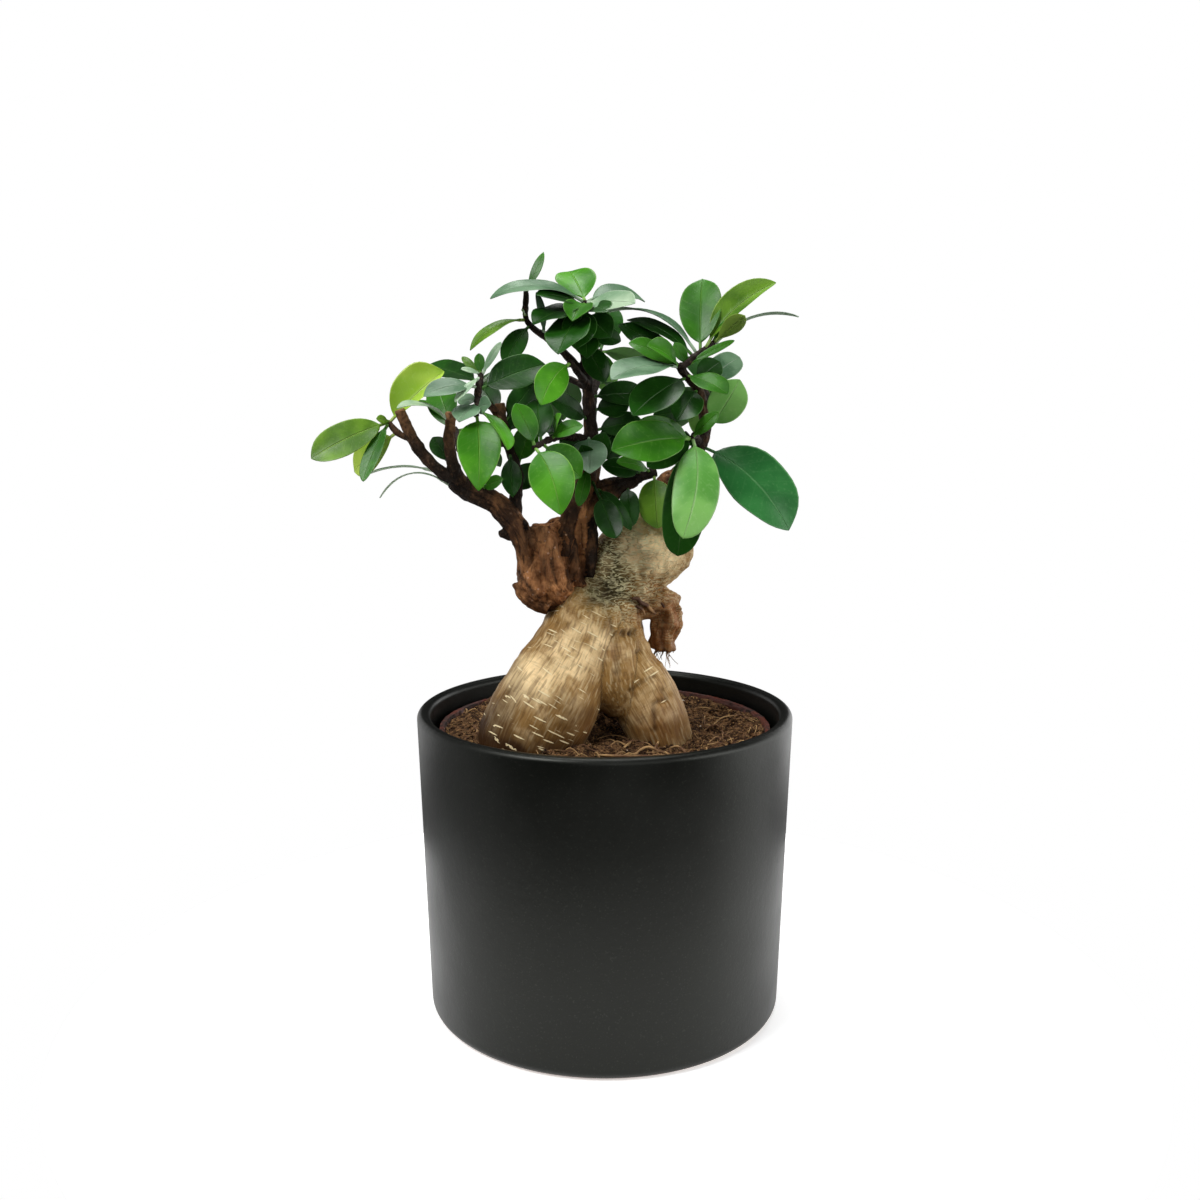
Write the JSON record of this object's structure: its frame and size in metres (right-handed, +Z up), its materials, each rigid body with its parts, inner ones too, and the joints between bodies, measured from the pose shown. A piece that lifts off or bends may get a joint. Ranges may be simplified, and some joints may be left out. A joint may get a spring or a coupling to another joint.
{
  "type": "potted ginseng ficus bonsai",
  "caption": "Small bonsai tree with swollen splayed roots, grafted leafy crowns and oval waxy leaves, growing in a plastic nursery pot inside a round dark ceramic pot.",
  "frame": {"origin": "centre of the ceramic pot's flat underside, where the pot stands", "axes": "+Z up along the pot's axis and the tree's height; -Y is the front, towards the viewer; +X to the viewer's right, the side of the short broken root"},
  "size_m": [0.1648, 0.135, 0.2712],
  "materials": {
    "black_glaze": "matt charcoal glaze, soft sheen",
    "brown_plastic": "thin red-brown moulded plastic",
    "peat": "dark brown damp peat with root fibres",
    "pale_bark": "smooth tan bark, fine wrinkles and pale lenticels",
    "left_bark": "rough red-brown bark",
    "centre_bark": "ridged dark brown bark",
    "right_bark": "thin dark brown bark",
    "lime_leaf": "young lime green leaf, soft gloss",
    "bright_leaf": "fresh green leaf, waxy gloss",
    "mid_leaf": "mid green leaf, waxy gloss",
    "dark_leaf": "dark green old leaf, waxy gloss",
    "olive_leaf": "olive green leaf, soft gloss",
    "pale_leaf": "leaf turned so that its pale glossy side shows",
    "bluish_leaf": "blue-green broad leaf, waxy gloss"
  },
  "bodies": {
    "root": {"ceramic_pot": "black_glaze", "nursery_pot": "brown_plastic", "potting_soil": "peat", "rootstock": "pale_bark", "left_scion": "left_bark", "centre_scion": "centre_bark", "right_scion": "right_bark", "left_tip_leaf_1": "olive_leaf", "left_tip_leaf_2": "lime_leaf", "left_tip_leaf_3": "lime_leaf", "left_tip_leaf_4": "mid_leaf", "arm_leaf_1": "pale_leaf", "spur_leaf_1": "pale_leaf", "left_head_leaf_1": "dark_leaf", "left_head_leaf_2": "dark_leaf", "left_head_leaf_3": "dark_leaf", "left_front_leaf_1": "mid_leaf", "left_front_leaf_2": "bright_leaf", "left_front_leaf_3": "bright_leaf", "upright_leaf_1": "dark_leaf", "front_shoot_leaf_1": "bright_leaf", "front_shoot_leaf_2": "mid_leaf", "front_shoot_leaf_3": "mid_leaf", "stub_leaf_1": "olive_leaf", "stub_leaf_2": "dark_leaf", "stem_leaf_1": "dark_leaf", "stem_leaf_2": "dark_leaf", "stem_leaf_3": "bright_leaf", "stem_leaf_4": "dark_leaf", "stem_leaf_5": "pale_leaf", "stem_leaf_6": "dark_leaf", "stem_leaf_7": "dark_leaf", "left_shoot_leaf_1": "mid_leaf", "left_shoot_leaf_2": "mid_leaf", "left_shoot_leaf_3": "olive_leaf", "bright_shoot_leaf_1": "bright_leaf", "limb_leaf_1": "bluish_leaf", "limb_leaf_2": "bright_leaf", "limb_leaf_3": "dark_leaf", "limb_leaf_4": "dark_leaf", "limb_leaf_5": "dark_leaf", "limb_leaf_6": "dark_leaf", "limb_leaf_7": "dark_leaf", "right_front_leaf_1": "mid_leaf", "right_front_leaf_2": "bright_leaf", "right_front_leaf_3": "dark_leaf", "right_top_leaf_1": "bright_leaf", "right_top_leaf_2": "mid_leaf", "right_top_leaf_3": "olive_leaf", "right_top_leaf_4": "pale_leaf", "right_top_leaf_5": "pale_leaf", "back_shoot_leaf_1": "dark_leaf", "back_shoot_leaf_2": "mid_leaf", "back_shoot_leaf_3": "dark_leaf", "back_left_leaf_1": "mid_leaf", "back_left_leaf_2": "dark_leaf", "back_right_leaf_1": "mid_leaf", "back_right_leaf_2": "dark_leaf", "arm_back_leaf_1": "mid_leaf", "arm_back_leaf_2": "dark_leaf"}
  },
  "joints": []
}
